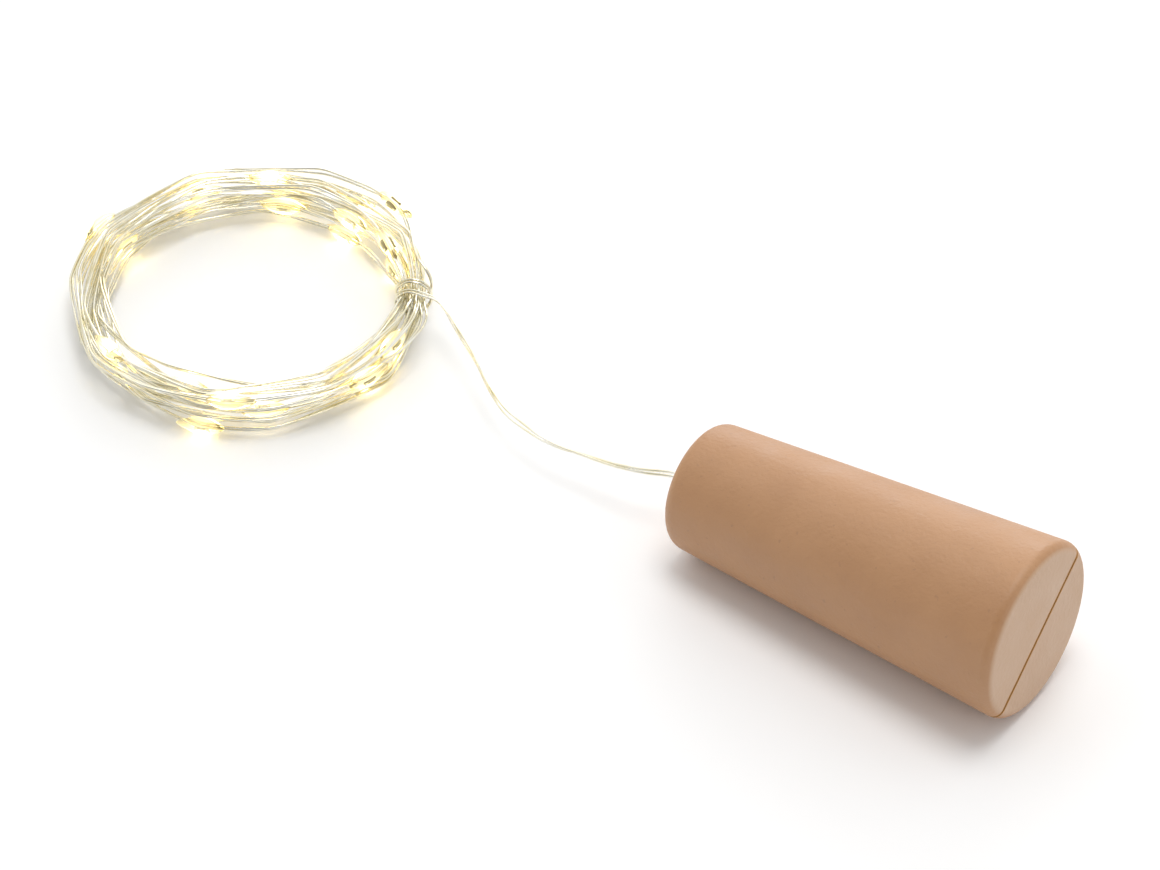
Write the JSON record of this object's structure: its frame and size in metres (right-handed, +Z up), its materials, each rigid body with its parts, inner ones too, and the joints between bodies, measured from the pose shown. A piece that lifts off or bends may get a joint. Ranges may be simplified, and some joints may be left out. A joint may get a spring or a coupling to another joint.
{
  "type": "cork bottle light",
  "caption": "Cork-shaped bottle stopper with button cells and a slide switch inside, feeding a thin wire string of lit drops wound in a tied coil.",
  "frame": {"origin": "on the surface that the stopper lies on, under the middle of the stopper's box, the wire string left out", "axes": "+X along the stopper from its wire end to its big end, +Z up, the coil of wire on the -X side"},
  "size_m": [0.1334, 0.046, 0.0208],
  "materials": {
    "cork_plastic": "satin moulded, cork tan",
    "cell_steel": "bright nickel-plated",
    "seal_nylon": "moulded",
    "contact_nickel": "nickel-plated spring steel",
    "board_laminate": "solder-masked laminate",
    "screw_steel": "zinc-plated",
    "resistor_ceramic": "glazed",
    "solder_tin": "reflowed tin",
    "black_plastic": "moulded",
    "terminal_brass": "stamped",
    "hot_glue": "translucent, waxy",
    "silver_wire": "lacquered, silver-champagne",
    "clear_resin": "clear, glossy",
    "lit_chip": "lit warm white"
  },
  "bodies": {
    "case": {"body_shell": "cork_plastic", "cell_cans": "cell_steel", "cell_seals": "seal_nylon", "cell_caps": "cell_steel", "negative_plate": "contact_nickel", "negative_spring": "contact_nickel", "positive_plate": "contact_nickel", "circuit_board": "board_laminate", "board_screws": "screw_steel", "resistor_body": "resistor_ceramic", "resistor_caps": "solder_tin", "switch_base": "black_plastic", "switch_terminals": "terminal_brass", "switch_can": "screw_steel", "solder_joints": "solder_tin", "glue_plug": "hot_glue", "negative_strand": "silver_wire", "positive_strand": "silver_wire", "wire_lead": "silver_wire", "coil_tie": "silver_wire", "wire_coil": "silver_wire", "led_beads": "clear_resin", "led_chips": "lit_chip"},
    "cover": {"battery_cover": "cork_plastic"},
    "knob": {"switch_knob": "black_plastic", "switch_wiper": "terminal_brass"}
  },
  "joints": [
    {"name": "cover_lift", "type": "slide", "parent": "case", "child": "cover", "axis": [-0.0522, -0.6018, 0.7969], "range_m": [0, 0.025]},
    {"name": "knob_slide", "type": "slide", "parent": "case", "child": "knob", "axis": [0.9979, 0, 0.0654], "range_m": [0, 0.002]}
  ]
}
